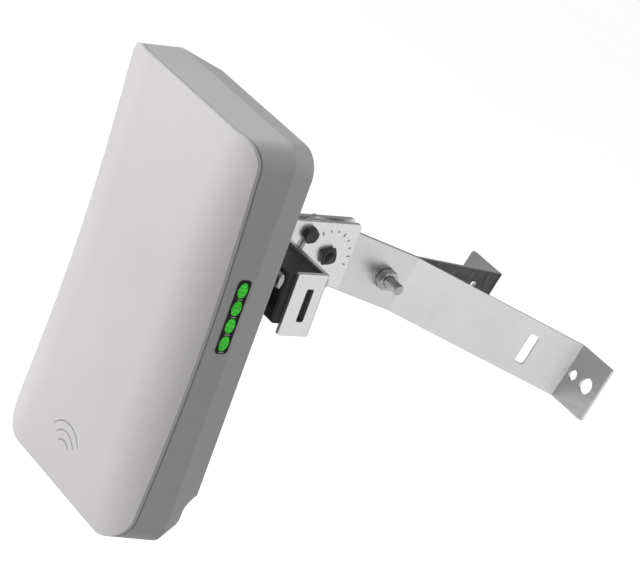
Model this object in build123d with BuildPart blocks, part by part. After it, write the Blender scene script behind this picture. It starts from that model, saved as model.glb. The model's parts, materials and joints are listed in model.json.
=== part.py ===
"""Outdoor wireless bridge on a wall or pole bracket, in millimetres.

The frame: the origin is the middle of the wall plane that the bracket's two flanges rest on, +Z is up,
+X is to the right as the antenna's front is seen, and the antenna looks along -Y.

Everything ahead of the tilt pivot (yoke, swivel and radio) is drawn upright in the head frame, whose
origin is the middle of the radio's flat front, with +Y to the rear. It is leaned as one when it is saved.
"""

import math
import os

from build123d import *

os.makedirs("parts", exist_ok=True)

# ---- Driving sizes -------------------------------------------------------------------------------

# Radio case, in the head frame
HEIGHT = 280.0
WIDTH = 158.0
DEPTH = 60.0
HALF_H = HEIGHT / 2
HALF_W = WIDTH / 2
FLAT_HALF = 41.0  # half width of the flat middle of the front, half way up
CROWN_DROP = 12.5  # how far the front has curved back at the sides, half way up
END_SPREAD = 10.0  # how much further out the curve begins at the top and bottom ends
COVER_T = 2.2  # thickness of the front cover's sheet
CREASE = 34.5  # depth at which the straight side band ends and the taper begins
REAR_HALF_W = 67.0
REAR_TOP = 133.0
REAR_BOTTOM = -131.0
TOP_RADIUS = 15.0
BOTTOM_RADIUS = 25.0  # at the front
CREASE_RADIUS = 17.0  # of the bottom corners at the crease
WALL = 2.5
SEAL = 1.1  # thickness of the seal that shows between the two shells
LIP_T = 1.5  # lip of the front cover that fits inside the rear housing
LIP_END = 17.0
BOSS_MEET = 14.0  # depth at which the bosses of the two shells meet
BOSS_GAP = 0.6

# Cable bay at the rear of the bottom end
COVE_Z = -106.0  # where the rear face steps forward
COVE_DEPTH = 47.5  # rear surface below the step
BAY_HALF_W = 50.0
BAY_FRONT = 24.0
BAY_TOP = -104.0
SLIP = 0.2  # clearance of the sliding cable cover

# Bracket
STRAP = 2.0  # strap thickness
STRAP_H = 41.0
FORK_Y = -130.0  # where the two straps part
BEND_X = 50.0
FLANGE_END = 85.0
OUTER_HOLE_X = 72.5
INNER_HOLE_X = 57.5
OUTER_HOLE_D = 11.5
INNER_HOLE_D = 7.5
STUD_Y = -151.0
STUD_D = 8.0

# Tilt pivot
PIVOT_Y = -208.0  # in the row frame
PIVOT_HEAD = (0.0, 143.0, 37.5)  # the same point in the head frame
LEAN = 15.0  # forward lean of the head, degrees
LOCK_R = 24.5  # distance from the pivot to the lock bolt
LOCK_ANGLE = 144.5  # of the lock bolt in the head frame, from +Y towards +Z
UP_TRAVEL = 45.0  # degrees that the head can be raised from its rest
DOWN_TRAVEL = 5.0
M6 = 6.0
FIT = 0.2  # bore diameter over shaft diameter

# Yoke
SHEET = 3.0
CHEEK_GAP = 5.0
CHEEK_REAR = 163.0
CHEEK_H = 46.0
WEB_REAR = 112.0
WEB_HALF_W = 52.0
WEB_BOTTOM = 2.0
WEB_TOP = 46.0
TAB_FRONT = 88.0

# Swivel between the yoke and the radio
SWIVEL_Y = 74.0
SWIVEL_Z = 25.0
SWIVEL_R = 10.5
SWIVEL_PIN_D = 8.0
BLOCK_FRONT = 82.0
BLOCK_BOTTOM = 9.0
BLOCK_TOP = 44.0
TONGUE_HALF_H = 8.0

# Status window on the right-hand side band
WINDOW_Y = 27.5
WINDOW_Z = 28.0
WINDOW_SIZE = (9.4, 51.0)
LENS_PITCH = 12.2
LENS_SIZE = (7.0, 10.6)

# Boards inside
BOARD_FRONT = 24.4
BOARD_T = 1.6
REFLECTOR_Y = 18.0
REFLECTOR_T = 2.0
PANEL_Y = 9.0

CROWN_STATIONS = (-145.0, -75.0, 0.0, 75.0, 145.0)  # heights of the plans that shape the crowned front
RUN_OUT = 1.5

lean = math.radians(LEAN)
head_shift_y = PIVOT_HEAD[1] * math.cos(lean) - PIVOT_HEAD[2] * math.sin(lean)
head_shift_z = PIVOT_HEAD[1] * math.sin(lean) + PIVOT_HEAD[2] * math.cos(lean)
HEAD = Location((0, PIVOT_Y - head_shift_y, -head_shift_z), (LEAN, 0, 0))


# ---- Helpers -------------------------------------------------------------------------------------


def keep(shape, label, place=Location()):
    """Name one finished piece, put it in the row frame and write its file."""
    placed = shape.moved(place)
    placed.label = label
    export_step(placed, f"parts/{label}.step")


def facing_front(depth):
    """A plane across the depth, drawn as seen from the front. A positive extrude comes forward."""
    return Plane.XZ.offset(-depth)


def facing_side(x):
    """A plane across the width, drawn with +Y to the right and +Z up. A positive extrude goes to +X."""
    return Plane.YZ.offset(x)


def case_outline(half_w, half_h, top_radius, bottom_radius):
    """The case as seen from the front: tighter corners at the top than at the bottom."""
    Rectangle(2 * half_w, 2 * half_h)
    fillet(vertices().group_by(Axis.Y)[-1], top_radius)
    fillet(vertices().group_by(Axis.Y)[0], bottom_radius)


def inset_outline(inset):
    """The front outline of the case moved inwards all round."""
    case_outline(HALF_W - inset, HALF_H - inset, TOP_RADIUS - inset, BOTTOM_RADIUS - inset)


def front_form(inset, mode=Mode.ADD):
    """The case from its front to the crease. Its bottom corners tighten towards the rear."""
    with BuildSketch(facing_front(0)) as rim:
        inset_outline(inset)
    with BuildSketch(facing_front(CREASE)) as crease:
        case_outline(HALF_W - inset, HALF_H - inset, TOP_RADIUS - inset, CREASE_RADIUS - inset)
    loft([rim.sketch.face(), crease.sketch.face()], mode=mode)
    return crease.sketch.face()


def crowned_plan(z, front):
    """Plan of everything behind the crowned front at one height: a flat middle, and sides that curve away.

    It runs a little past the case's sides and back, so that the case outline trims it.
    """
    flat_half = FLAT_HALF + END_SPREAD * (z / HALF_H) ** 2
    end_x = HALF_W + RUN_OUT
    run = HALF_W - FLAT_HALF
    radius = (run * run + CROWN_DROP * CROWN_DROP) / (2 * CROWN_DROP)
    sweep_angle = math.degrees(math.asin((end_x - flat_half) / radius))
    with BuildSketch(Plane.XY.offset(z)) as plan:
        with BuildLine() as outline:
            Line((-flat_half, front), (flat_half, front))
            right = JernArc((flat_half, front), (1, 0), radius, sweep_angle)
            left = JernArc((-flat_half, front), (-1, 0), radius, -sweep_angle)
            Polyline(right @ 1, (end_x, DEPTH + RUN_OUT), (-end_x, DEPTH + RUN_OUT), left @ 1)
        make_face(outline.edges())
    return plan.sketch.face()


def behind_crown(depth, mode=Mode.INTERSECT):
    """Everything behind the crowned front surface, when that is moved back by the depth given."""
    loft([crowned_plan(z, depth) for z in CROWN_STATIONS], mode=mode)


def hex_prism(plane, across_flats, height, bore=0.0):
    """A hexagonal head, or a nut when it has a bore."""
    with BuildSketch(plane) as hexagon:
        RegularPolygon(across_flats / 2, 6, major_radius=False)
        if bore:
            Circle(bore / 2, mode=Mode.SUBTRACT)
    extrude(hexagon.sketch, amount=height)


def rod(plane, diameter, length):
    """A round shaft standing on its plane."""
    with BuildSketch(plane) as disc:
        Circle(diameter / 2)
    extrude(disc.sketch, amount=length)


def polar_yz(radius, angle):
    """A point in the side view, by its distance and angle from the tilt pivot, in the head frame."""
    turn = math.radians(angle)
    return (PIVOT_HEAD[1] + radius * math.cos(turn), PIVOT_HEAD[2] + radius * math.sin(turn))


# ---- Radio case ----------------------------------------------------------------------------------

SCREW_POINTS = [(x, z) for x in (-58.0, 58.0) for z in (-90.0, 13.0, 118.0)]
BOARD_POINTS = [(x, z) for x in (-30.0, 30.0) for z in (-80.0, 78.0)]
REFLECTOR_POINTS = [(x, z) for x in (-44.0, 44.0) for z in (-92.0, 104.0)]
FOOT_POINTS = [(x, z) for x in (-20.0, 20.0) for z in (SWIVEL_Z - 17.0, SWIVEL_Z + 17.0)]

SCREW_D = 3.5
SCREW_GRIP = 7.0  # depth of screw thread in the front cover
COVER_BOSS_END = BOSS_MEET - BOSS_GAP / 2
HOUSING_BOSS_END = BOSS_MEET + BOSS_GAP / 2

# Front cover: a thin crowned sheet, with a lip that fits inside the housing and six screw bosses
with BuildPart() as front_cover:
    front_form(0)
    behind_crown(0)
    behind_crown(COVER_T, Mode.SUBTRACT)
    with BuildPart(mode=Mode.PRIVATE) as cover_lip:
        with BuildSketch(facing_front(LIP_END)):
            inset_outline(WALL + SLIP)
        extrude(amount=LIP_END)
        with BuildSketch(facing_front(LIP_END)):
            inset_outline(WALL + SLIP + LIP_T)
        extrude(amount=LIP_END, mode=Mode.SUBTRACT)
        with BuildSketch(facing_front(COVER_BOSS_END)):
            with Locations(*SCREW_POINTS):
                Circle(4)
        extrude(amount=COVER_BOSS_END)
        behind_crown(COVER_T / 2)
    add(cover_lip.part)
    with BuildSketch(facing_front(COVER_BOSS_END)):
        with Locations(*SCREW_POINTS):
            Circle(SCREW_D / 2 + 0.05)
    extrude(amount=SCREW_GRIP, mode=Mode.SUBTRACT)
keep(front_cover.part, "front_cover", HEAD)

# Seal between the two shells, set back a little so that it shows as a fine dark line
with BuildPart() as case_seal:
    front_form(SEAL)
    front_form(WALL, Mode.SUBTRACT)
    behind_crown(COVER_T)
    behind_crown(COVER_T + SEAL, Mode.SUBTRACT)
keep(case_seal.part, "case_seal", HEAD)

# Rear housing: straight band, tapering band, flat back, cable bay, bosses and openings
TAPER_RADIUS = 18.0
BACK_ROUND = 4.0
COVE_R = 16.0


def housing_form(inset):
    """The housing's outer form, or its hollow when inset by the wall."""
    crease = front_form(inset)
    with BuildSketch(facing_front(DEPTH - inset)) as back:
        with Locations((0, (REAR_TOP + REAR_BOTTOM) / 2)):
            Rectangle(2 * (REAR_HALF_W - inset), REAR_TOP - REAR_BOTTOM - 2 * inset)
        fillet(vertices(), TAPER_RADIUS - inset)
    loft([crease, back.sketch.face()])
    fillet(faces().sort_by(Axis.Y)[-1].edges(), BACK_ROUND - inset)
    with BuildSketch(facing_side(-HALF_W - 1)) as cove:
        with BuildLine() as cove_line:
            Polyline((DEPTH + 1, COVE_Z + inset), (DEPTH + 1, -HALF_H - 1), (COVE_DEPTH - inset, -HALF_H - 1),
                     (COVE_DEPTH - inset, COVE_Z + inset - 8))
            RadiusArc((COVE_DEPTH - inset, COVE_Z + inset - 8), (DEPTH + 1, COVE_Z + inset), COVE_R)
        make_face(cove_line.edges())
    extrude(cove.sketch, amount=WIDTH + 2, mode=Mode.SUBTRACT)


def bay_block(half_w, front, top, mode):
    """A block that fills the cable bay from its front wall to beyond the back."""
    with BuildSketch(facing_front(DEPTH + 1)) as block:
        with Locations((0, (top - HALF_H - 1) / 2)):
            Rectangle(2 * half_w, HALF_H + 1 + top)
    extrude(block.sketch, amount=DEPTH + 1 - front, mode=mode)


JACK_X = -16.0
JACK_SIZE = (16.0, 13.6)  # across and deep
JACK_Y = 33.0
BUTTON_X = 10.0
BUTTON_Y = 33.0
BUTTON_D = 4.0
VENT_POINT = (-40.0, -80.0)
EARTH_POINT = (40.0, -80.0)

with BuildPart() as housing_outer:
    housing_form(0)
    behind_crown(COVER_T + SEAL)

with BuildPart() as housing_hollow:
    housing_form(WALL)

with BuildPart() as rear_housing:
    add(housing_outer.part)
    add(housing_hollow.part, mode=Mode.SUBTRACT)
    # Walls of the cable bay, trimmed to the case
    with BuildPart(mode=Mode.PRIVATE) as bay_walls:
        bay_block(BAY_HALF_W + WALL, BAY_FRONT - WALL, BAY_TOP + WALL, Mode.ADD)
        add(housing_outer.part, mode=Mode.INTERSECT)
    add(bay_walls.part)
    bay_block(BAY_HALF_W, BAY_FRONT, BAY_TOP, Mode.SUBTRACT)
    # Guide grooves for the sliding cable cover
    with BuildSketch(Plane.XY.offset(-HALF_H - 1)):
        with Locations((BAY_HALF_W, 38), (-BAY_HALF_W, 38)):
            Rectangle(3, 2.4)
    extrude(amount=HALF_H + 1 + COVE_Z - 4, mode=Mode.SUBTRACT)
    # Bosses: clamp screws, reflector posts and board posts
    with BuildSketch(facing_front(DEPTH - WALL)):
        with Locations(*SCREW_POINTS):
            Circle(4.6)
    extrude(amount=DEPTH - WALL - HOUSING_BOSS_END)
    with BuildSketch(facing_front(DEPTH - WALL)):
        with Locations(*REFLECTOR_POINTS):
            Circle(4)
    extrude(amount=DEPTH - WALL - REFLECTOR_Y - REFLECTOR_T)
    with BuildSketch(facing_front(DEPTH - WALL)):
        with Locations(*BOARD_POINTS):
            Circle(4)
    extrude(amount=DEPTH - WALL - BOARD_FRONT - BOARD_T)
    # Thick pad behind the swivel foot
    with BuildSketch(facing_front(DEPTH - WALL)):
        with Locations((0, SWIVEL_Z)):
            RectangleRounded(56, 50, 5)
    extrude(amount=6)
    # Screw holes, counterbored at the back
    with BuildSketch(facing_front(DEPTH)):
        with Locations(*SCREW_POINTS):
            Circle(4)
    extrude(amount=4, mode=Mode.SUBTRACT)
    with BuildSketch(facing_front(DEPTH)):
        with Locations(*SCREW_POINTS):
            Circle(SCREW_D / 2 + 0.15)
    extrude(amount=DEPTH - HOUSING_BOSS_END + 1, mode=Mode.SUBTRACT)
    with BuildSketch(facing_front(REFLECTOR_Y)):
        with Locations(*REFLECTOR_POINTS):
            Circle(1.3)
    extrude(amount=-12, mode=Mode.SUBTRACT)
    with BuildSketch(facing_front(BOARD_FRONT)):
        with Locations(*BOARD_POINTS):
            Circle(1.3)
    extrude(amount=-10, mode=Mode.SUBTRACT)
    with BuildSketch(facing_front(DEPTH)):
        with Locations(*FOOT_POINTS):
            Circle(2.6)
    extrude(amount=7.5, mode=Mode.SUBTRACT)
    # Vent and earth screw at the back
    with BuildSketch(facing_front(DEPTH)):
        with Locations(VENT_POINT):
            Circle(3.1)
        with Locations(EARTH_POINT):
            Circle(2.1)
    extrude(amount=WALL + 1, mode=Mode.SUBTRACT)
    # Openings in the roof of the bay: socket and reset button
    with BuildSketch(Plane.XY.offset(BAY_TOP)):
        with Locations((JACK_X, JACK_Y)):
            RectangleRounded(JACK_SIZE[0] + 4.4, JACK_SIZE[1] + 4.4, 2)
        with Locations((BUTTON_X, BUTTON_Y)):
            Circle(BUTTON_D / 2 + 0.2)
    extrude(amount=WALL, mode=Mode.SUBTRACT)
    # Window opening in the right-hand side
    with BuildSketch(facing_side(HALF_W)):
        with Locations((WINDOW_Y, WINDOW_Z)):
            RectangleRounded(WINDOW_SIZE[0] - 1, WINDOW_SIZE[1] - 1, 2.6)
    extrude(amount=-WALL, mode=Mode.SUBTRACT)
keep(rear_housing.part, "rear_housing", HEAD)

# Six screws that clamp the two shells together from the back
with BuildPart() as case_screws:
    with BuildSketch(facing_front(DEPTH - 4)):
        with Locations(*SCREW_POINTS):
            Circle(SCREW_D / 2)
    extrude(amount=DEPTH - 4 - COVER_BOSS_END + SCREW_GRIP - 0.5)
    with BuildSketch(facing_front(DEPTH - 1.2)):
        with Locations(*SCREW_POINTS):
            Circle(3.4)
    extrude(amount=2.8)
    with BuildSketch(facing_front(DEPTH - 1.2)):
        with Locations(*SCREW_POINTS):
            RegularPolygon(1.5, 6, major_radius=False)
    extrude(amount=1.6, mode=Mode.SUBTRACT)
keep(case_screws.part, "case_screws", HEAD)

# ---- Radio internals -----------------------------------------------------------------------------

# Antenna board with eight square patches on its front
with BuildPart() as antenna_board:
    with BuildSketch(facing_front(PANEL_Y + BOARD_T)):
        RectangleRounded(104, 236, 4)
        with Locations(*REFLECTOR_POINTS):
            Circle(1.6, mode=Mode.SUBTRACT)
    extrude(amount=BOARD_T)
keep(antenna_board.part, "antenna_board", HEAD)

with BuildPart() as antenna_patches:
    with BuildSketch(facing_front(PANEL_Y)):
        with Locations((0, 6)):
            with GridLocations(48, 50, 2, 4):
                RectangleRounded(30, 30, 1)
    extrude(amount=0.2)
keep(antenna_patches.part, "antenna_patches", HEAD)

# Reflector plate with a turned edge
with BuildPart() as reflector_plate:
    with BuildSketch(facing_front(REFLECTOR_Y + REFLECTOR_T)):
        RectangleRounded(104, 236, 4)
    extrude(amount=REFLECTOR_T)
    with BuildSketch(facing_front(REFLECTOR_Y)):
        RectangleRounded(104, 236, 4)
        RectangleRounded(101, 233, 3, mode=Mode.SUBTRACT)
    extrude(amount=3)
    with BuildSketch(facing_front(REFLECTOR_Y + REFLECTOR_T)):
        with Locations(*REFLECTOR_POINTS):
            Circle(1.6)
    extrude(amount=REFLECTOR_T, mode=Mode.SUBTRACT)
keep(reflector_plate.part, "reflector_plate", HEAD)

# Sleeves that hold the antenna board off the reflector
with BuildPart() as board_spacers:
    with BuildSketch(facing_front(REFLECTOR_Y)):
        with Locations(*REFLECTOR_POINTS):
            Circle(3)
            Circle(1.6, mode=Mode.SUBTRACT)
    extrude(amount=REFLECTOR_Y - PANEL_Y - BOARD_T)
keep(board_spacers.part, "board_spacers", HEAD)

# Four long screws through the antenna board, spacers and reflector into the housing
with BuildPart() as antenna_screws:
    with BuildSketch(facing_front(PANEL_Y)):
        with Locations(*REFLECTOR_POINTS):
            Circle(1.25)
    extrude(amount=-19)
    with BuildSketch(facing_front(PANEL_Y)):
        with Locations(*REFLECTOR_POINTS):
            Circle(2.6)
    extrude(amount=1.6)
keep(antenna_screws.part, "antenna_screws", HEAD)

# Radio board, its shield cans and its screws
with BuildPart() as main_board:
    with BuildSketch(facing_front(BOARD_FRONT + BOARD_T)):
        with Locations((0, -2)):
            RectangleRounded(72, 184, 3)
        with Locations(*BOARD_POINTS):
            Circle(1.5, mode=Mode.SUBTRACT)
    extrude(amount=BOARD_T)
keep(main_board.part, "main_board", HEAD)

with BuildPart() as shield_cans:
    with BuildSketch(facing_front(BOARD_FRONT + BOARD_T + 5)):
        with Locations((-6, 30)):
            RectangleRounded(44, 56, 1.5)
        with Locations((12, -34)):
            RectangleRounded(34, 34, 1.5)
    extrude(amount=5)
keep(shield_cans.part, "shield_cans", HEAD)

with BuildPart() as board_screws:
    with BuildSketch(facing_front(BOARD_FRONT)):
        with Locations(*BOARD_POINTS):
            Circle(1.25)
    extrude(amount=-8)
    with BuildSketch(facing_front(BOARD_FRONT)):
        with Locations(*BOARD_POINTS):
            Circle(2.5)
    extrude(amount=1.6)
keep(board_screws.part, "board_screws", HEAD)

# Network socket, which hangs from the board into the cable bay and opens downwards
with BuildPart() as network_jack:
    with BuildSketch(Plane.XY.offset(BAY_TOP - 3)):
        with Locations((JACK_X, JACK_Y)):
            Rectangle(*JACK_SIZE)
    extrude(amount=21)
    with BuildSketch(Plane.XY.offset(BAY_TOP - 3)):
        with Locations((JACK_X, JACK_Y + 0.5)):
            Rectangle(11.8, 7)
        with Locations((JACK_X, JACK_Y - 4)):
            Rectangle(6, 3)
    extrude(amount=14, mode=Mode.SUBTRACT)
keep(network_jack.part, "network_jack", HEAD)

with BuildPart() as jack_seal:
    with BuildSketch(Plane.XY.offset(BAY_TOP)):
        with Locations((JACK_X, JACK_Y)):
            RectangleRounded(JACK_SIZE[0] + 4.3, JACK_SIZE[1] + 4.3, 2)
            Rectangle(*JACK_SIZE, mode=Mode.SUBTRACT)
    extrude(amount=WALL)
    with BuildSketch(Plane.XY.offset(BAY_TOP)):
        with Locations((JACK_X, JACK_Y)):
            RectangleRounded(JACK_SIZE[0] + 4.3, JACK_SIZE[1] + 4.3, 2)
            Rectangle(*JACK_SIZE, mode=Mode.SUBTRACT)
    extrude(amount=-1)
keep(jack_seal.part, "jack_seal", HEAD)

# Reset button with a collar that keeps it in, and the switch above it
RESET_TRAVEL = 0.8
with BuildPart() as reset_button:
    rod(Plane(origin=(BUTTON_X, BUTTON_Y, BAY_TOP - 2)), BUTTON_D, 2 + WALL + 3)
    rod(Plane(origin=(BUTTON_X, BUTTON_Y, BAY_TOP + WALL + 0.1)), BUTTON_D + 2.5, 1.2)
keep(reset_button.part, "reset_button", HEAD)

with BuildPart() as reset_switch:
    with BuildSketch(Plane.XY.offset(BAY_TOP + WALL + 3 + RESET_TRAVEL + 0.2)):
        with Locations((BUTTON_X, BUTTON_Y - 2)):
            Rectangle(6, 10)
    extrude(amount=4)
keep(reset_switch.part, "reset_switch", HEAD)

# ---- Status window -------------------------------------------------------------------------------

LENS_POINTS = [(WINDOW_Y, WINDOW_Z + LENS_PITCH * (i - 1.5)) for i in range(4)]
LED_BOARD_X = HALF_W - 12.0

with BuildPart() as status_window:
    with BuildSketch(facing_side(HALF_W - WALL - 1)):
        with Locations((WINDOW_Y, WINDOW_Z)):
            RectangleRounded(WINDOW_SIZE[0] - 1.2, WINDOW_SIZE[1] - 1.2, 2.5)
    extrude(amount=WALL + 1)
    with BuildSketch(facing_side(HALF_W)):
        with Locations((WINDOW_Y, WINDOW_Z)):
            RectangleRounded(*WINDOW_SIZE, 3)
    extrude(amount=0.4)
    with BuildSketch(facing_side(HALF_W - WALL - 1)):
        with Locations(*LENS_POINTS):
            Ellipse(LENS_SIZE[0] / 2, LENS_SIZE[1] / 2)
    extrude(amount=WALL + 1.4, mode=Mode.SUBTRACT)
    with BuildSketch(facing_side(LED_BOARD_X)):
        with Locations((WINDOW_Y - 3, WINDOW_Z - 23.2), (WINDOW_Y + 3, WINDOW_Z + 23.2)):
            Circle(0.8)
    extrude(amount=HALF_W - WALL - 1 - LED_BOARD_X)
keep(status_window.part, "status_window", HEAD)

with BuildPart() as status_lenses:
    with BuildSketch(facing_side(HALF_W - WALL - 3)):
        with Locations(*LENS_POINTS):
            Ellipse(LENS_SIZE[0] / 2 - 0.05, LENS_SIZE[1] / 2 - 0.05)
    extrude(amount=WALL + 3.6)
keep(status_lenses.part, "status_lenses", HEAD)

with BuildPart() as status_board:
    with BuildSketch(facing_side(LED_BOARD_X - 1.2)):
        with Locations((WINDOW_Y, WINDOW_Z)):
            RectangleRounded(9, 54, 1)
    extrude(amount=1.2)
keep(status_board.part, "status_board", HEAD)

with BuildPart() as status_leds:
    with BuildSketch(facing_side(LED_BOARD_X)):
        with Locations(*LENS_POINTS):
            Rectangle(3, 4)
    extrude(amount=1.5)
keep(status_leds.part, "status_leds", HEAD)

# ---- Cable cover and the small parts outside the case --------------------------------------------

COVER_HALF_W = BAY_HALF_W - SLIP
WEB_END_Z = COVE_Z - 9
WEB_REAR_Z = 1 - HALF_H + (HALF_H + REAR_BOTTOM) * (COVE_DEPTH - 1 - CREASE) / (DEPTH - CREASE)
RIB_BOTTOM = 4 - HALF_H
CABLE_R = 3.5
SEAT_T = 3.5
CABLE_X = JACK_X

with BuildPart() as cable_cover:
    # The part of the case's own wall that closes the bay
    add(housing_outer.part)
    add(housing_hollow.part, mode=Mode.SUBTRACT)
    with BuildSketch(facing_front(DEPTH + 1)):
        with Locations((0, (BAY_TOP - SLIP - HALF_H - 1) / 2)):
            Rectangle(2 * COVER_HALF_W, HALF_H + 1 + BAY_TOP - SLIP)
    extrude(amount=DEPTH + 1 - BAY_FRONT - SLIP, mode=Mode.INTERSECT)
    # Corner webs that stiffen it, which end inside the thickness of the wall
    with BuildSketch(facing_side(-COVER_HALF_W)):
        with BuildLine():
            Polyline((BAY_FRONT + SLIP, 1 - HALF_H), (CREASE, 1 - HALF_H), (COVE_DEPTH - 1, WEB_REAR_Z),
                     (COVE_DEPTH - 1, WEB_END_Z), (36, WEB_END_Z),
                     (BAY_FRONT + SLIP, WALL - HALF_H + 4), close=True)
        make_face()
    extrude(amount=2)
    mirror(about=Plane.YZ)
    # Guide ribs that ride in the grooves of the bay
    with BuildSketch(Plane.XY.offset(RIB_BOTTOM)):
        with Locations((COVER_HALF_W + 0.5, 38), (-COVER_HALF_W - 0.5, 38)):
            Rectangle(1.6, 1.9)
    extrude(amount=COVE_Z - 10 - RIB_BOTTOM)
    # Level seat for the grommet, spot faced inside, with a round way out for the cable
    rod(Plane(origin=(CABLE_X, JACK_Y, -HALF_H)), 17.4, SEAT_T)
    with BuildSketch(Plane.XY.offset(SEAT_T - HALF_H)):
        with Locations((CABLE_X, JACK_Y)):
            Circle(8.6)
    extrude(amount=8, mode=Mode.SUBTRACT)
    with BuildSketch(Plane.XY.offset(-HALF_H)):
        with Locations((CABLE_X, JACK_Y)):
            Circle(7)
    extrude(amount=SEAT_T, mode=Mode.SUBTRACT)
    # Finger ridges on the back
    with BuildSketch(facing_front(COVE_DEPTH + 0.8)):
        with Locations((0, -129)):
            with GridLocations(0, 3, 1, 4):
                RectangleRounded(36, 1.4, 0.6)
    extrude(amount=1)
keep(cable_cover.part, "cable_cover", HEAD)

# Rubber grommet in the cable cover
with BuildPart() as cable_grommet:
    rod(Plane(origin=(CABLE_X, JACK_Y, -HALF_H)), 13.9, SEAT_T)
    rod(Plane(origin=(CABLE_X, JACK_Y, SEAT_T - HALF_H)), 17, 1.5)
    rod(Plane(origin=(CABLE_X, JACK_Y, -HALF_H - 1.2)), 16, 1.2)
    with BuildSketch(Plane.XY.offset(-HALF_H - 1.2)):
        with Locations((CABLE_X, JACK_Y)):
            Circle(CABLE_R)
    extrude(amount=SEAT_T + 2.7, mode=Mode.SUBTRACT)
keep(cable_grommet.part, "cable_grommet", HEAD)

with BuildPart() as vent_plug:
    with BuildSketch(facing_front(DEPTH + 1.4)):
        with Locations(VENT_POINT):
            Circle(5.5)
    extrude(amount=1.4)
    with BuildSketch(facing_front(DEPTH)):
        with Locations(VENT_POINT):
            Circle(3.05)
    extrude(amount=WALL + 0.5)
keep(vent_plug.part, "vent_plug", HEAD)

with BuildPart() as earth_screw:
    with BuildSketch(facing_front(DEPTH + 3)):
        with Locations(EARTH_POINT):
            RegularPolygon(3.5, 6, major_radius=False)
    extrude(amount=3)
    with BuildSketch(facing_front(DEPTH)):
        with Locations(EARTH_POINT):
            Circle(2)
    extrude(amount=8)
keep(earth_screw.part, "earth_screw", HEAD)

with BuildPart() as rating_plate:
    with BuildSketch(facing_front(DEPTH + 0.4)):
        with Locations((0, -46)):
            RectangleRounded(64, 34, 3)
    extrude(amount=0.4)
keep(rating_plate.part, "rating_plate", HEAD)

# ---- Swivel: foot on the radio, block on the yoke, one upright bolt ------------------------------

FOOT_T = 3.0
LUG_CLEAR = 0.1
LUG_HALF_H = 17.0
FOOT_SIZE = (56.0, 50.0)
M8_FLATS = 13.0
M8_NUT = 6.5
M8_HEAD = 5.3
M6_FLATS = 10.0
M6_NUT = 4.0


def knuckle(z_low, z_high, y_root, bore):
    """A flat lug round the swivel bolt, reaching back or forward to its root."""
    with BuildSketch(Plane.XY.offset(z_low)) as lug:
        with Locations((0, SWIVEL_Y)):
            Circle(SWIVEL_R)
        with Locations((0, (SWIVEL_Y + y_root) / 2)):
            Rectangle(2 * SWIVEL_R, abs(y_root - SWIVEL_Y))
        with Locations((0, SWIVEL_Y)):
            Circle(bore / 2, mode=Mode.SUBTRACT)
    extrude(lug.sketch, amount=z_high - z_low)


with BuildPart() as swivel_foot:
    with BuildSketch(facing_front(DEPTH + FOOT_T)):
        with Locations((0, SWIVEL_Z)):
            RectangleRounded(*FOOT_SIZE, 5)
        with Locations(*FOOT_POINTS):
            Circle(2.6, mode=Mode.SUBTRACT)
    extrude(amount=FOOT_T)
    knuckle(SWIVEL_Z + TONGUE_HALF_H + LUG_CLEAR, SWIVEL_Z + LUG_HALF_H, DEPTH + 1, SWIVEL_PIN_D + 0.1)
    knuckle(SWIVEL_Z - LUG_HALF_H, SWIVEL_Z - TONGUE_HALF_H - LUG_CLEAR, DEPTH + 1, SWIVEL_PIN_D + 0.1)
keep(swivel_foot.part, "swivel_foot", HEAD)

with BuildPart() as foot_screws:
    with BuildSketch(facing_front(DEPTH + FOOT_T + 3)):
        with Locations(*FOOT_POINTS):
            Circle(4.3)
    extrude(amount=3)
    with BuildSketch(facing_front(DEPTH + FOOT_T + 3)):
        with Locations(*FOOT_POINTS):
            RegularPolygon(2, 6, major_radius=False)
    extrude(amount=2, mode=Mode.SUBTRACT)
    with BuildSketch(facing_front(DEPTH + FOOT_T)):
        with Locations(*FOOT_POINTS):
            Circle(2.5)
    extrude(amount=10)
keep(foot_screws.part, "foot_screws", HEAD)

swivel_top = Plane(origin=(0, SWIVEL_Y, SWIVEL_Z + LUG_HALF_H))
swivel_bottom = Plane(origin=(0, SWIVEL_Y, SWIVEL_Z - LUG_HALF_H), x_dir=(1, 0, 0), z_dir=(0, 0, -1))

with BuildPart() as swivel_bolt:
    rod(swivel_top, SWIVEL_PIN_D, -2 * LUG_HALF_H - M8_NUT - 3)
    hex_prism(swivel_top, M8_FLATS, M8_HEAD)
keep(swivel_bolt.part, "swivel_bolt", HEAD)

with BuildPart() as swivel_nut:
    hex_prism(swivel_bottom, M8_FLATS, M8_NUT, SWIVEL_PIN_D + 0.05)
keep(swivel_nut.part, "swivel_nut", HEAD)

# Cast block between the yoke's tabs, with the tongue that the swivel bolt passes through
WEB_FRONT = WEB_REAR - SHEET
BLOCK_HALF_W = WEB_HALF_W - SHEET - FIT
BLOCK_BOLT_X = 42.5
BLOCK_BOLT_Z = 37.5
RELIEF_HALF_W = 16.0

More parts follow.
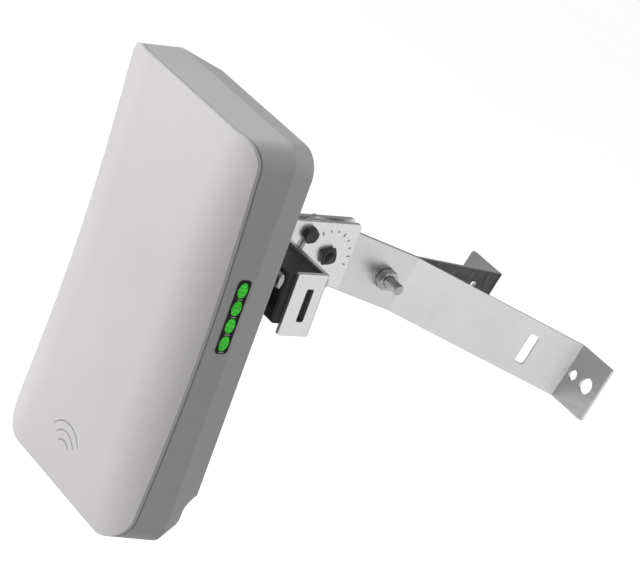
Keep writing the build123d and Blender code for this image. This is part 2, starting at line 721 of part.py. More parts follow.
with BuildPart() as swivel_block:
    with BuildSketch(Plane.XY.offset(BLOCK_BOTTOM)):
        with Locations((0, (BLOCK_FRONT + WEB_FRONT) / 2)):
            Rectangle(2 * BLOCK_HALF_W, WEB_FRONT - BLOCK_FRONT)
        chamfer(vertices().group_by(Axis.Y)[0], 1.5)
    extrude(amount=BLOCK_TOP - BLOCK_BOTTOM)
    fillet(edges().filter_by(Axis.X).group_by(Axis.Y)[0], 2)
    # Relief in the middle that the foot's lugs swing in
    with BuildSketch(Plane.XY.offset(BLOCK_BOTTOM)):
        with Locations((0, BLOCK_FRONT + 1)):
            Rectangle(2 * RELIEF_HALF_W, 4)
    extrude(amount=BLOCK_TOP - BLOCK_BOTTOM, mode=Mode.SUBTRACT)
    knuckle(SWIVEL_Z - TONGUE_HALF_H, SWIVEL_Z + TONGUE_HALF_H, BLOCK_FRONT + 4, SWIVEL_PIN_D + FIT)
    # Core pockets, open at the bottom
    with BuildSketch(Plane.XY.offset(BLOCK_BOTTOM)):
        with Locations((-27, (BLOCK_FRONT + WEB_FRONT) / 2), (27, (BLOCK_FRONT + WEB_FRONT) / 2)):
            RectangleRounded(18, 18, 2)
    extrude(amount=BLOCK_TOP - BLOCK_BOTTOM - 5, mode=Mode.SUBTRACT)
    with BuildSketch(facing_front(WEB_FRONT)):
        with Locations((-BLOCK_BOLT_X, BLOCK_BOLT_Z), (BLOCK_BOLT_X, BLOCK_BOLT_Z)):
            Circle((M6 + FIT) / 2)
    extrude(amount=WEB_FRONT - BLOCK_FRONT, mode=Mode.SUBTRACT)
keep(swivel_block.part, "swivel_block", HEAD)

# Two square-headed bolts that hold the block in the yoke, and their nuts behind the web
with BuildPart() as block_bolts:
    with BuildSketch(facing_front(BLOCK_FRONT)):
        with Locations((-BLOCK_BOLT_X, BLOCK_BOLT_Z), (BLOCK_BOLT_X, BLOCK_BOLT_Z)):
            Rectangle(9.5, 9.5)
    extrude(amount=4)
    with BuildSketch(facing_front(BLOCK_FRONT)):
        with Locations((-BLOCK_BOLT_X, BLOCK_BOLT_Z), (BLOCK_BOLT_X, BLOCK_BOLT_Z)):
            Circle(M6 / 2)
    extrude(amount=BLOCK_FRONT - WEB_REAR - M6_NUT - 2.5)
keep(block_bolts.part, "block_bolts", HEAD)

with BuildPart() as block_nuts:
    with BuildSketch(facing_front(WEB_REAR)):
        with Locations((-BLOCK_BOLT_X, BLOCK_BOLT_Z), (BLOCK_BOLT_X, BLOCK_BOLT_Z)):
            RegularPolygon(M6_FLATS / 2, 6, major_radius=False)
            Circle(M6 / 2 + 0.03, mode=Mode.SUBTRACT)
    extrude(amount=-M6_NUT)
keep(block_nuts.part, "block_nuts", HEAD)

# ---- Yoke: two mirrored pressings ----------------------------------------------------------------

CHEEK_IN = CHEEK_GAP / 2
CHEEK_OUT = CHEEK_IN + SHEET
TAB_SLOT = (5.5, 23.5)
TAB_SLOT_Y = 101.0

with BuildPart() as yoke_right:
    # Cheek with the pivot hole and the curved slot of the lock bolt
    with BuildSketch(facing_side(CHEEK_IN)):
        with Locations(((WEB_FRONT + CHEEK_REAR) / 2, PIVOT_HEAD[2])):
            Rectangle(CHEEK_REAR - WEB_FRONT, CHEEK_H)
        fillet(vertices().group_by(Axis.X)[-1], 2.5)
    extrude(amount=SHEET)
    with BuildSketch(facing_side(CHEEK_IN)):
        with Locations(PIVOT_HEAD[1:]):
            Circle((M6 + FIT) / 2)
        with BuildLine(mode=Mode.PRIVATE) as slot_line:
            CenterArc(PIVOT_HEAD[1:], LOCK_R, LOCK_ANGLE - DOWN_TRAVEL - 0.5, UP_TRAVEL + DOWN_TRAVEL + 1)
        SlotArc(slot_line.edge(), M6 + 2 * FIT)
    extrude(amount=SHEET, mode=Mode.SUBTRACT)
    # Web across the back
    with BuildSketch(facing_front(WEB_REAR)):
        with Locations(((CHEEK_IN + WEB_HALF_W) / 2, (WEB_TOP + WEB_BOTTOM) / 2)):
            Rectangle(WEB_HALF_W - CHEEK_IN, WEB_TOP - WEB_BOTTOM)
        with Locations((BLOCK_BOLT_X, BLOCK_BOLT_Z)):
            Circle((M6 + FIT) / 2, mode=Mode.SUBTRACT)
    extrude(amount=SHEET)
    # Slotted tab beside the block
    with BuildSketch(facing_side(WEB_HALF_W - SHEET)):
        with Locations(((TAB_FRONT + WEB_REAR) / 2, (WEB_TOP + WEB_BOTTOM) / 2)):
            Rectangle(WEB_REAR - TAB_FRONT, WEB_TOP - WEB_BOTTOM)
        fillet(vertices().group_by(Axis.X)[0], 1.5)
        with Locations((TAB_SLOT_Y, (WEB_TOP + WEB_BOTTOM) / 2)):
            RectangleRounded(*TAB_SLOT, 1.5, mode=Mode.SUBTRACT)
    extrude(amount=SHEET)
    outer_bend = edges().filter_by(Axis.Z).group_by(Axis.X)[-1].sort_by(Axis.Y)[-1]
    fillet(outer_bend, 1.5)
keep(yoke_right.part, "yoke_right", HEAD)
keep(mirror(yoke_right.part, about=Plane.YZ), "yoke_left", HEAD)

# ---- Tilt pivot and lock -------------------------------------------------------------------------

PIVOT_PLAY = 0.1  # gap between a cheek and the nut or head outside it
THREAD_END = 2.5
lock_point = polar_yz(LOCK_R, LOCK_ANGLE)


def side_plane(point, x, outwards):
    """A plane across the pivot direction, its normal pointing to the right (1) or to the left (-1)."""
    return Plane(origin=(x, *point), x_dir=(0, 1, 0), z_dir=(outwards, 0, 0))


with BuildPart() as pivot_stud:
    reach = CHEEK_OUT + PIVOT_PLAY + M6_NUT + THREAD_END
    rod(side_plane(PIVOT_HEAD[1:], -reach, 1), M6, 2 * reach)
keep(pivot_stud.part, "pivot_stud", HEAD)

with BuildPart() as pivot_nuts:
    for side in (-1, 1):
        with BuildSketch(side_plane(PIVOT_HEAD[1:], side * (CHEEK_OUT + PIVOT_PLAY), side)):
            Rectangle(M6_FLATS, M6_FLATS, rotation=side * LEAN)
            Circle(M6 / 2 + 0.03, mode=Mode.SUBTRACT)
        extrude(amount=M6_NUT)
keep(pivot_nuts.part, "pivot_nuts", HEAD)

with BuildPart() as lock_bolt:
    head_x = CHEEK_OUT + PIVOT_PLAY
    hex_prism(side_plane(lock_point, head_x, 1), M6_FLATS, M6_NUT)
    rod(side_plane(lock_point, head_x, -1), M6, 2 * head_x + M6_NUT + THREAD_END)
keep(lock_bolt.part, "lock_bolt", HEAD)

with BuildPart() as lock_nut:
    hex_prism(side_plane(lock_point, -head_x, -1), M6_FLATS, M6_NUT, M6 + 0.06)
keep(lock_nut.part, "lock_nut", HEAD)

# ---- Bracket: two straps, back to back, that part towards the wall -------------------------------

END_R = 30.0  # rounded front end, about the pivot
ARM_SLOT = (7.5, 22.0)
ARM_SLOT_BACK = 36.0  # from the wall bend, along the arm
BEND_R = 5.0
arm_length = math.hypot(BEND_X, FORK_Y)
along = (BEND_X / arm_length, -FORK_Y / arm_length, 0)
across = (along[1], -along[0], 0)
slot_origin = (BEND_X - ARM_SLOT_BACK * along[0], -ARM_SLOT_BACK * along[1], 0)
arm_slot_plane = Plane(origin=slot_origin, x_dir=along, z_dir=across)
lock_row = math.radians(LOCK_ANGLE + LEAN)

with BuildPart() as right_arm:
    with BuildSketch(Plane.XY.offset(-STRAP_H / 2)):
        with BuildLine() as strap_line:
            Polyline((0, PIVOT_Y - END_R), (0, FORK_Y), (BEND_X, 0), (FLANGE_END, 0))
            fillet(vertices().sort_by(Axis.Y)[1:3], BEND_R)
            offset(amount=STRAP, side=Side.RIGHT)
        make_face()
    extrude(amount=STRAP_H)
    # Round the front end about the pivot
    with BuildSketch(facing_side(0)):
        with Locations((PIVOT_Y - END_R / 2, 0)):
            Rectangle(END_R, STRAP_H)
        with Locations((PIVOT_Y, 0)):
            Circle(END_R, mode=Mode.SUBTRACT)
    extrude(amount=STRAP, mode=Mode.SUBTRACT)
    # Holes for the pivot, the lock bolt and the clamp stud
    with BuildSketch(facing_side(0)):
        with Locations((PIVOT_Y, 0), (PIVOT_Y + LOCK_R * math.cos(lock_row), LOCK_R * math.sin(lock_row))):
            Circle((M6 + FIT) / 2)
        with Locations((STUD_Y, 0)):
            Circle((STUD_D + FIT) / 2)
    extrude(amount=STRAP, mode=Mode.SUBTRACT)
    # Band slot half way up the arm
    with BuildSketch(arm_slot_plane):
        RectangleRounded(*ARM_SLOT, 2)
    extrude(amount=4 * STRAP, both=True, mode=Mode.SUBTRACT)
    # Flange holes
    with BuildSketch(facing_front(0)):
        with Locations((OUTER_HOLE_X, 0)):
            Circle(OUTER_HOLE_D / 2)
        with Locations((INNER_HOLE_X, 0)):
            Circle(INNER_HOLE_D / 2)
    extrude(amount=STRAP, mode=Mode.SUBTRACT)
    fillet(edges().filter_by(Axis.Y).group_by(Axis.X)[-1], 2)
keep(right_arm.part, "right_arm")
keep(mirror(right_arm.part, about=Plane.YZ), "left_arm")

WASHER_T = 1.6
WASHER_D = 16.0
STUD_TAIL = 12.0
stud_reach = STRAP + WASHER_T + M8_NUT + STUD_TAIL

with BuildPart() as clamp_stud:
    rod(side_plane((STUD_Y, 0), -stud_reach, 1), STUD_D, 2 * stud_reach)
    chamfer(edges().filter_by(GeomType.CIRCLE), 0.8)
keep(clamp_stud.part, "clamp_stud")

with BuildPart() as clamp_washers:
    for side in (-1, 1):
        with BuildSketch(side_plane((STUD_Y, 0), side * STRAP, side)):
            Circle(WASHER_D / 2)
            Circle(STUD_D / 2 + 0.2, mode=Mode.SUBTRACT)
        extrude(amount=WASHER_T)
keep(clamp_washers.part, "clamp_washers")

with BuildPart() as clamp_nuts:
    for side in (-1, 1):
        hex_prism(side_plane((STUD_Y, 0), side * (STRAP + WASHER_T), side), M8_FLATS, M8_NUT, STUD_D + 0.05)
keep(clamp_nuts.part, "clamp_nuts")
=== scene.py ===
"""Looks of the outdoor wireless bridge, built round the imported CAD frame, in metres."""

import json
import math

import bpy
from mathutils import Matrix, Vector


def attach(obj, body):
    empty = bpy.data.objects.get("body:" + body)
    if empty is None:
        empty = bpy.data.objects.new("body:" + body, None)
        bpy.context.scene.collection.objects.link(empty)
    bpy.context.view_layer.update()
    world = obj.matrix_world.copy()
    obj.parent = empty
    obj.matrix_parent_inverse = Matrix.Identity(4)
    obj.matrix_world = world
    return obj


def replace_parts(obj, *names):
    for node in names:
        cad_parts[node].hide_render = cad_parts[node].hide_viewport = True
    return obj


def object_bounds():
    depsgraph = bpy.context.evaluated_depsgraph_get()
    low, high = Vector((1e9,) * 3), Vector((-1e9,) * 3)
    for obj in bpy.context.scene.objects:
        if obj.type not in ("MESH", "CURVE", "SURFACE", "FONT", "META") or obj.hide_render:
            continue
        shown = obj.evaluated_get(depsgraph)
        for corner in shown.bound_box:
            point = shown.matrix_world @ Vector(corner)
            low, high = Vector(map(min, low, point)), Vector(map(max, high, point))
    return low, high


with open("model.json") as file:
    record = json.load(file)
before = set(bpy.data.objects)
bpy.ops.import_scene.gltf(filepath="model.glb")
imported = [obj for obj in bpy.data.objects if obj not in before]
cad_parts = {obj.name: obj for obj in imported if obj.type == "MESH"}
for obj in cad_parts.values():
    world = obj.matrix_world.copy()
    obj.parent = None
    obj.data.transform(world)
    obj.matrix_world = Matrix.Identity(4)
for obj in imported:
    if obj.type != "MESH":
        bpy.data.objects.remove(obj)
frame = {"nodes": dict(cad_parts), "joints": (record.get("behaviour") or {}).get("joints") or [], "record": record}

cad_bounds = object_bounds()

JOINTS = {joint["name"]: joint for joint in frame["joints"]}

# ---- The leaning head frame ----------------------------------------------------------------------
# Its origin is the middle of the radio's flat front, +Y runs to the rear and +Z up along the case.

PIVOT = Vector(JOINTS["tilt"]["pos_m"])
UPRIGHT = Vector(JOINTS["swivel"]["axis"])
LEAN = math.atan2(-UPRIGHT.y, UPRIGHT.z)
PIVOT_HEAD = Vector((0.0, 0.143, 0.0375))  # the tilt pivot, in the head frame
HEAD = Matrix.Translation(PIVOT) @ Matrix.Rotation(LEAN, 4, "X") @ Matrix.Translation(-PIVOT_HEAD)
ROW = Matrix.Identity(4)


def node_box(node, place=ROW, side=0):
    """Lowest and highest corner of a CAD node in a frame, or of its half on one side of x."""
    back = place.inverted()
    points = [back @ vertex.co for vertex in frame["nodes"][node].data.vertices]
    if side:
        points = [point for point in points if point.x * side > 0]
    low = Vector(min(point[i] for point in points) for i in range(3))
    high = Vector(max(point[i] for point in points) for i in range(3))
    return low, high


# ---- Material helpers ----------------------------------------------------------------------------

BEVEL_SAMPLES = 4


class Shader:
    """A new node material with a Principled shader, and short calls for the nodes that feed it."""

    def __init__(self, name):
        self.material = bpy.data.materials.new(name)
        self.material.use_nodes = True
        self.nodes = self.material.node_tree.nodes
        self.links = self.material.node_tree.links
        self.main = self.nodes["Principled BSDF"]
        self.coords = self.nodes.new("ShaderNodeTexCoord").outputs["Object"]

    def link(self, source, target):
        """Join an output socket to an input socket."""
        self.links.new(source, target)

    def scaled(self, factors):
        """Object coordinates multiplied by one factor for each axis."""
        node = self.nodes.new("ShaderNodeVectorMath")
        node.operation = "MULTIPLY"
        self.link(self.coords, node.inputs[0])
        node.inputs[1].default_value = factors
        return node.outputs[0]

    def noise(self, scale, detail=3.0, stretch=(1, 1, 1)):
        """The value of a cloudy noise, which is finer at a larger scale."""
        node = self.nodes.new("ShaderNodeTexNoise")
        node.inputs["Scale"].default_value = scale
        node.inputs["Detail"].default_value = detail
        self.link(self.scaled(stretch), node.inputs["Vector"])
        return node.outputs["Fac"]

    def cells(self, scale, feature="F1"):
        """Distances in a pattern of irregular cells."""
        node = self.nodes.new("ShaderNodeTexVoronoi")
        node.feature = feature
        node.inputs["Scale"].default_value = scale
        self.link(self.coords, node.inputs["Vector"])
        return node.outputs["Distance"]

    def ramp(self, source, stops):
        """A colour or grey ramp. Each stop is a position and a grey value or a colour."""
        node = self.nodes.new("ShaderNodeValToRGB")
        elements = node.color_ramp.elements
        while len(elements) < len(stops):
            elements.new(0.5)
        for element, (position, value) in zip(elements, stops):
            colour = (value, value, value) if isinstance(value, (int, float)) else value
            element.position = position
            element.color = (*colour, 1)
        self.link(source, node.inputs["Fac"])
        return node.outputs["Color"]

    def mix(self, factor, first, second):
        """Blend two colours, each a socket or a value, by the factor's socket."""
        node = self.nodes.new("ShaderNodeMix")
        node.data_type = "RGBA"
        self.link(factor, node.inputs[0])
        for socket, value in ((node.inputs[6], first), (node.inputs[7], second)):
            if isinstance(value, bpy.types.NodeSocket):
                self.link(value, socket)
            else:
                socket.default_value = (*value, 1)
        return node.outputs[2]

    def surface(self, colour, roughness, metallic=0.0, specular=0.5, coat=0.0):
        """Set the finish from the colour's socket and a roughness that is a socket or a number."""
        self.link(colour, self.main.inputs["Base Color"])
        if isinstance(roughness, bpy.types.NodeSocket):
            self.link(roughness, self.main.inputs["Roughness"])
        else:
            self.main.inputs["Roughness"].default_value = roughness
        self.main.inputs["Metallic"].default_value = metallic
        self.main.inputs["Specular IOR Level"].default_value = specular
        self.main.inputs["Coat Weight"].default_value = coat

    def relief(self, heights, edge_radius):
        """Softened edges, then one bump for each height, strength and depth in metres."""
        bevel = self.nodes.new("ShaderNodeBevel")
        bevel.samples = BEVEL_SAMPLES
        bevel.inputs["Radius"].default_value = edge_radius
        normal = bevel.outputs["Normal"]
        for height, strength, depth in heights:
            bump = self.nodes.new("ShaderNodeBump")
            bump.inputs["Strength"].default_value = strength
            bump.inputs["Distance"].default_value = depth
            self.link(height, bump.inputs["Height"])
            self.link(normal, bump.inputs["Normal"])
            normal = bump.outputs["Normal"]
        self.link(normal, self.main.inputs["Normal"])

    def edge_mask(self, radius, low, high):
        """Near 1 at sharp edges and 0 elsewhere, by how far a softened normal leans over there."""
        bevel = self.nodes.new("ShaderNodeBevel")
        bevel.samples = BEVEL_SAMPLES
        bevel.inputs["Radius"].default_value = radius
        geometry = self.nodes.new("ShaderNodeNewGeometry")
        dot = self.nodes.new("ShaderNodeVectorMath")
        dot.operation = "DOT_PRODUCT"
        self.link(bevel.outputs["Normal"], dot.inputs[0])
        self.link(geometry.outputs["Normal"], dot.inputs[1])
        return self.ramp(dot.outputs["Value"], [(low, 1.0), (high, 0.0)])


# ---- Materials -----------------------------------------------------------------------------------


def moulded_plastic(name, dark, light, roughness, grain_depth, edge_radius, specular=0.42):
    """Moulded plastic: faint flow marks and mottling, and a fine spark-eroded grain."""
    shader = Shader(name)
    cloud = shader.noise(9.0, 4.0)
    flow = shader.noise(3.0, 2.0, stretch=(1, 1, 5))
    grain = shader.cells(1900.0)
    fine = shader.noise(2600.0, 2.0)
    body = shader.mix(shader.ramp(cloud, [(0.3, 0.0), (0.7, 1.0)]), dark, light)
    body = shader.mix(shader.ramp(flow, [(0.35, 0.0), (0.75, 0.22)]), body, light)
    shine = shader.ramp(grain, [(0.0, roughness - 0.06), (0.8, roughness + 0.08)])
    shader.surface(body, shine, specular=specular)
    shader.relief([(grain, 0.25, grain_depth), (fine, 0.2, grain_depth)], edge_radius)
    return shader.material


def rolled_steel(name, dark, light, roughness, brush, edge_radius):
    """Bright sheet steel: fine rolling lines, faint clouds, and a painted highlight: a pale grey painted along the
    edges.
    """
    shader = Shader(name)
    lines = shader.noise(1.0, 3.0, stretch=brush)
    clouds = shader.noise(26.0, 4.0)
    spangle = shader.cells(240.0)
    tone = shader.mix(shader.ramp(clouds, [(0.3, 0.3), (0.7, 0.6)]), dark, light)
    tone = shader.mix(shader.ramp(lines, [(0.35, 0.0), (0.7, 0.35)]), tone, light)
    # Painted highlight: the sharp edges are painted a pale grey.
    edge_highlight = shader.edge_mask(0.0007, 0.80, 0.98)
    tone = shader.mix(edge_highlight, tone, (0.86, 0.86, 0.87))
    shine = shader.mix(
        shader.ramp(spangle, [(0.0, 0.0), (0.9, 1.0)]),
        (roughness - 0.05,) * 3,
        (roughness + 0.07,) * 3,
    )
    shader.surface(tone, shine, metallic=0.92, specular=0.5)
    shader.relief([(lines, 0.10, 0.00003)], edge_radius)
    return shader.material


def plated(name, dark, light, roughness, scale):
    """Turned or plated metal for hardware, with a fine tooled surface and a painted highlight: a brighter colour
    painted along the edges.
    """
    shader = Shader(name)
    tooling = shader.noise(scale, 2.0)
    stain = shader.noise(150.0, 4.0)
    tone = shader.mix(shader.ramp(stain, [(0.35, 0.0), (0.65, 1.0)]), dark, light)
    # Painted highlight: the sharp edges are painted brighter than the light tone.
    edge_highlight = shader.edge_mask(0.0004, 0.75, 0.97)
    tone = shader.mix(edge_highlight, tone, tuple(min(1.0, channel * 1.3 + 0.05) for channel in light))
    shine = shader.ramp(stain, [(0.3, roughness - 0.05), (0.7, roughness + 0.12)])
    shader.surface(tone, shine, metallic=0.95)
    shader.relief([(tooling, 0.18, 0.00005)], 0.0002)
    return shader.material


def coated_black(name, body, worn_and_highlight, roughness, grain_scale, grain_depth):
    """Black coated casting or steel: orange-peel relief, paler patches, and a painted highlight: the paler colour
    painted along the edges.
    """
    shader = Shader(name)
    peel = shader.noise(grain_scale, 3.0)
    patches = shader.noise(180.0, 4.0)
    # Painted highlight: the sharp edges take the paler colour.
    edge_highlight = shader.edge_mask(0.0006, 0.70, 0.96)
    tone = shader.mix(shader.ramp(patches, [(0.35, 0.0), (0.7, 0.5)]), body, worn_and_highlight)
    tone = shader.mix(edge_highlight, tone, worn_and_highlight)
    shine = shader.ramp(patches, [(0.3, roughness - 0.08), (0.7, roughness + 0.12)])
    shader.surface(tone, shine, metallic=0.25, specular=0.5)
    shader.relief([(peel, 0.35, grain_depth)], 0.0005)
    return shader.material


def rubber(name):
    """Dark rubber with a dusty bloom."""
    shader = Shader(name)
    bloom = shader.noise(90.0, 4.0)
    grain = shader.noise(2200.0, 2.0)
    dusty = shader.ramp(bloom, [(0.4, 0.0), (0.8, 1.0)])
    tone = shader.mix(dusty, (0.012, 0.012, 0.013), (0.04, 0.04, 0.042))
    shader.surface(tone, shader.ramp(bloom, [(0.2, 0.65), (0.8, 0.85)]), specular=0.3)
    shader.relief([(grain, 0.3, 0.00006)], 0.0002)
    return shader.material


def circuit_board(name):
    """Green solder mask over a pattern of tracks that stand slightly proud."""
    shader = Shader(name)
    tracks = shader.cells(170.0, "DISTANCE_TO_EDGE")
    vias = shader.cells(420.0)
    lines = shader.ramp(tracks, [(0.03, 1.0), (0.06, 0.0)])
    tone = shader.mix(lines, (0.010, 0.075, 0.032), (0.025, 0.16, 0.065))
    tone = shader.mix(shader.ramp(vias, [(0.10, 1.0), (0.13, 0.0)]), tone, (0.55, 0.38, 0.12))
    shader.surface(tone, shader.ramp(vias, [(0.0, 0.25), (0.6, 0.4)]), coat=0.3)
    shader.relief([(lines, 0.4, 0.00004)], 0.0001)
    return shader.material


def lit_lens(name):
    """Green light guide: brighter in the middle of each cell of its diffusing pattern."""
    shader = Shader(name)
    cells = shader.cells(520.0)
    cloud = shader.noise(260.0, 3.0)
    glow = shader.ramp(cells, [(0.05, (0.07, 0.92, 0.03)), (0.75, (0.003, 0.32, 0.003))])
    tone = shader.mix(shader.ramp(cloud, [(0.35, 0.0), (0.7, 0.6)]), glow, (0.010, 0.56, 0.006))
    shader.surface(tone, 0.28, specular=0.3, coat=0.2)
    shader.link(tone, shader.main.inputs["Emission Color"])
    shader.main.inputs["Emission Strength"].default_value = 0.35
    shader.relief([(cells, 0.5, 0.00012)], 0.0002)
    return shader.material


def label_film(name):
    """Matt polyester film with a faint weave in its coating."""
    shader = Shader(name)
    weave = shader.noise(1.0, 2.0, stretch=(2200, 300, 900))
    cloud = shader.noise(30.0, 3.0)
    patches = shader.ramp(cloud, [(0.3, 0.0), (0.7, 1.0)])
    tone = shader.mix(patches, (0.62, 0.62, 0.61), (0.70, 0.70, 0.69))
    shader.surface(tone, shader.ramp(weave, [(0.2, 0.35), (0.8, 0.5)]))
    shader.relief([(weave, 0.15, 0.00002)], 0.0001)
    return shader.material


# How the rolling lines are stretched: fine across one axis, long along the other two
STRAP_LINES = (30.0, 30.0, 2600.0)
YOKE_LINES = (2600.0, 30.0, 30.0)
MATERIALS = {
    "cover_plastic": moulded_plastic(
        "cover_plastic", (0.615, 0.597, 0.600), (0.655, 0.638, 0.642), 0.46, 0.00005, 0.0007, 0.32),
    # The housing is darker than the cover: partly its own darker plastic, partly painted shade for the radio's
    # sides.
    "housing_plastic": moulded_plastic(
        "housing_plastic", (0.530, 0.521, 0.524), (0.570, 0.561, 0.564),
        0.52, 0.00008, 0.0008, 0.32),
    "dark_rubber": rubber("dark_rubber"),
    "zinc_steel": plated("zinc_steel", (0.36, 0.36, 0.37), (0.58, 0.58, 0.59), 0.27, 1500.0),
    "circuit_board": circuit_board("circuit_board"),
    "copper": plated("copper", (0.62, 0.30, 0.17), (0.80, 0.42, 0.26), 0.28, 1200.0),
    "plain_aluminium": rolled_steel(
        "plain_aluminium", (0.60, 0.61, 0.62), (0.76, 0.77, 0.78), 0.36, STRAP_LINES, 0.0003),
    "brass_spacer": plated("brass_spacer", (0.55, 0.40, 0.16), (0.75, 0.58, 0.27), 0.28, 1500.0),
    "tin_plate": rolled_steel(
        "tin_plate", (0.55, 0.55, 0.54), (0.68, 0.68, 0.67), 0.30, STRAP_LINES, 0.0003),
    "black_plastic": moulded_plastic(
        "black_plastic", (0.006, 0.006, 0.007), (0.013, 0.013, 0.014), 0.55, 0.00004, 0.0003, 0.2),
    "green_lens": lit_lens("green_lens"),
    "label_film": label_film("label_film"),
    # The second colour of each black finish is for its paler patches and for its painted highlight on the edges.
    "black_casting": coated_black(
        "black_casting", (0.010, 0.010, 0.011), (0.07, 0.07, 0.075), 0.42, 900.0, 0.00015),
    "black_steel": coated_black(
        "black_steel", (0.014, 0.014, 0.015), (0.16, 0.16, 0.165), 0.36, 1500.0, 0.00005),
    "pressed_steel": rolled_steel(
        "pressed_steel", (0.66, 0.66, 0.665), (0.80, 0.80, 0.805), 0.34, STRAP_LINES, 0.0004),
}
YOKE_STEEL = rolled_steel(
    "yoke_steel", (0.76, 0.76, 0.765), (0.86, 0.86, 0.865), 0.30, YOKE_LINES, 0.0004)
# Painted shade: the front mark's ridges are painted dark grey for the shade along an embossed outline.
MARK_PAINTED_SHADE = moulded_plastic(
    "mark_painted_shade", (0.26, 0.255, 0.257), (0.30, 0.295, 0.297), 0.5, 0.00004, 0.0002)
PALE_PRINT = moulded_plastic(
    "pale_print", (0.42, 0.42, 0.42), (0.50, 0.50, 0.50), 0.5, 0.00003, 0.0001)

for subpart in frame["record"]["subparts"]:
    cad_node = frame["nodes"][subpart["node"]]
    finish = MATERIALS[subpart["material_slot"]]
    if not cad_node.material_slots:
        cad_node.data.materials.append(finish)
    if subpart["node"].startswith("yoke"):
        finish = YOKE_STEEL
    for material_slot in cad_node.material_slots:
        material_slot.material = finish


# ---- Mesh helpers --------------------------------------------------------------------------------

SHARP_ANGLE = 32.0  # degrees between two faces, above which their edge stays sharp


def add_piece(name, points, faces, body, slot, material=None, place=ROW):
    """A new mesh piece, drawn in its own frame and put in the row frame."""
    mesh = bpy.data.meshes.new(name)
    mesh.from_pydata([place @ Vector(point) for point in points], [], faces)
    mesh.update()
    mesh.materials.append(material or MATERIALS[slot])
    mesh.shade_smooth()
    mesh.set_sharp_from_angle(angle=math.radians(SHARP_ANGLE))
    obj = bpy.data.objects.new(name, mesh)
    bpy.context.scene.collection.objects.link(obj)
    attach(obj, body)
    return obj


class Rings:
    """Collects closed rings of points and joins each to the next, with caps on the ends."""

    def __init__(self):
        self.points = []
        self.faces = []

    def add_ring(self, ring, joined=True):
        """Add a ring, and the band between it and the ring before. Returns its first index."""
        start = len(self.points)
        count = len(ring)
        self.points.extend(ring)
        if joined and start >= count:
            for i in range(count):
                j = (i + 1) % count
                self.faces.append((start - count + i, start - count + j, start + j, start + i))
        return start

    def close_loop(self, first, last, count):
        """Join the last ring back to the first."""
        for i in range(count):
            j = (i + 1) % count
            self.faces.append((last + i, last + j, first + j, first + i))

    def cap(self, start, count, upwards):
        """Close a ring with one face."""
        order = list(range(start, start + count))
        self.faces.append(tuple(order if upwards else reversed(order)))


def axis_place(origin, direction, turn=0.0, base=ROW):
    """A frame whose +Z runs along the direction, turned about it, inside the base frame."""
    spin = Matrix.Rotation(turn, 4, "Z")
    facing = Vector(direction).to_track_quat("Z", "Y").to_matrix().to_4x4()
    return base @ Matrix.Translation(origin) @ facing @ spin


def nut_shape(sides, flats, height, bore=0.0):
    """A hexagonal or square nut or bolt head with turned chamfers, standing on its base."""
    points_per_side = 10
    count = sides * points_per_side
    slope = 1.7  # fall of the chamfer for each unit of radius
    face_share = 0.97  # diameter of the flat top, as a share of the width across flats
    corner = flats / 2 / math.cos(math.pi / sides)
    face_radius = flats / 2 * face_share
    chamfer = min((corner - face_radius) / slope, height * 0.35)
    steps = 4
    levels = [(chamfer * k / steps, chamfer * k / steps) for k in range(steps + 1)]
    levels += [(height - chamfer * k / steps, chamfer * k / steps) for k in range(steps, -1, -1)]
    sector = 2 * math.pi / sides

    def ring(z, depth):
        """The outline at a height, trimmed by the chamfer at this depth below its end face."""
        points = []
        for i in range(count):
            angle = 2 * math.pi * i / count
            flat = flats / 2 / math.cos(angle % sector - sector / 2)
            radius = min(flat, face_radius + slope * depth)
            points.append((radius * math.cos(angle), radius * math.sin(angle), z))
        return points

    def circle(radius, z):
        """A round ring."""
        turns = [2 * math.pi * i / count for i in range(count)]
        return [(radius * math.cos(turn), radius * math.sin(turn), z) for turn in turns]

    shape = Rings()
    first = shape.add_ring(ring(*levels[0]))
    for level in levels[1:]:
        shape.add_ring(ring(*level))
    if bore:
        lead = bore * 0.07
        shape.add_ring(circle(bore / 2 + lead, height))
        shape.add_ring(circle(bore / 2, height - lead))
        shape.add_ring(circle(bore / 2, lead))
        last = shape.add_ring(circle(bore / 2 + lead, 0.0))
        shape.close_loop(first, last, count)
    else:
        # A shallow dish in the top face
        shape.add_ring(circle(face_radius * 0.72, height))
        last = shape.add_ring(circle(face_radius * 0.55, height - 0.03 * flats))
        shape.cap(last, count, True)
        shape.cap(first, count, False)
    return shape.points, shape.faces


def thread_shape(diameter, length, pitch):
    """A threaded rod along +Z from its base, with turned ends."""
    count = 24
    rows_per_pitch = 6
    rows = int(length / pitch * rows_per_pitch)
    depth = 0.54 * pitch
    lead = 0.9 * pitch  # length of the taper at each end
    taper = 0.8  # how fast it narrows
    crest = 1.2  # how far the thread's flanks are from straight
    shape = Rings()
    first = None
    last = None
    for row in range(rows + 1):
        z = length * row / rows
        limit = diameter / 2 - max(0.0, lead - z, lead - (length - z)) * taper
        ring = []
        for i in range(count):
            turn = 2 * math.pi * i / count
            phase = (z / pitch - i / count) % 1.0
            radius = min(diameter / 2 - depth * abs(2 * phase - 1) ** crest, limit)
            ring.append((radius * math.cos(turn), radius * math.sin(turn), z))
        last = shape.add_ring(ring)
        first = last if first is None else first
    shape.cap(first, count, False)
    shape.cap(last, count, True)
    return shape.points, shape.faces


def merge_shapes(parts):
    """Join several point and face lists into one, each moved by its own frame."""
    points = []
    faces = []
    for (part_points, part_faces), place in parts:
        start = len(points)
        points += [tuple(place @ Vector(point)) for point in part_points]
        faces += [tuple(start + index for index in face) for face in part_faces]
    return points, faces


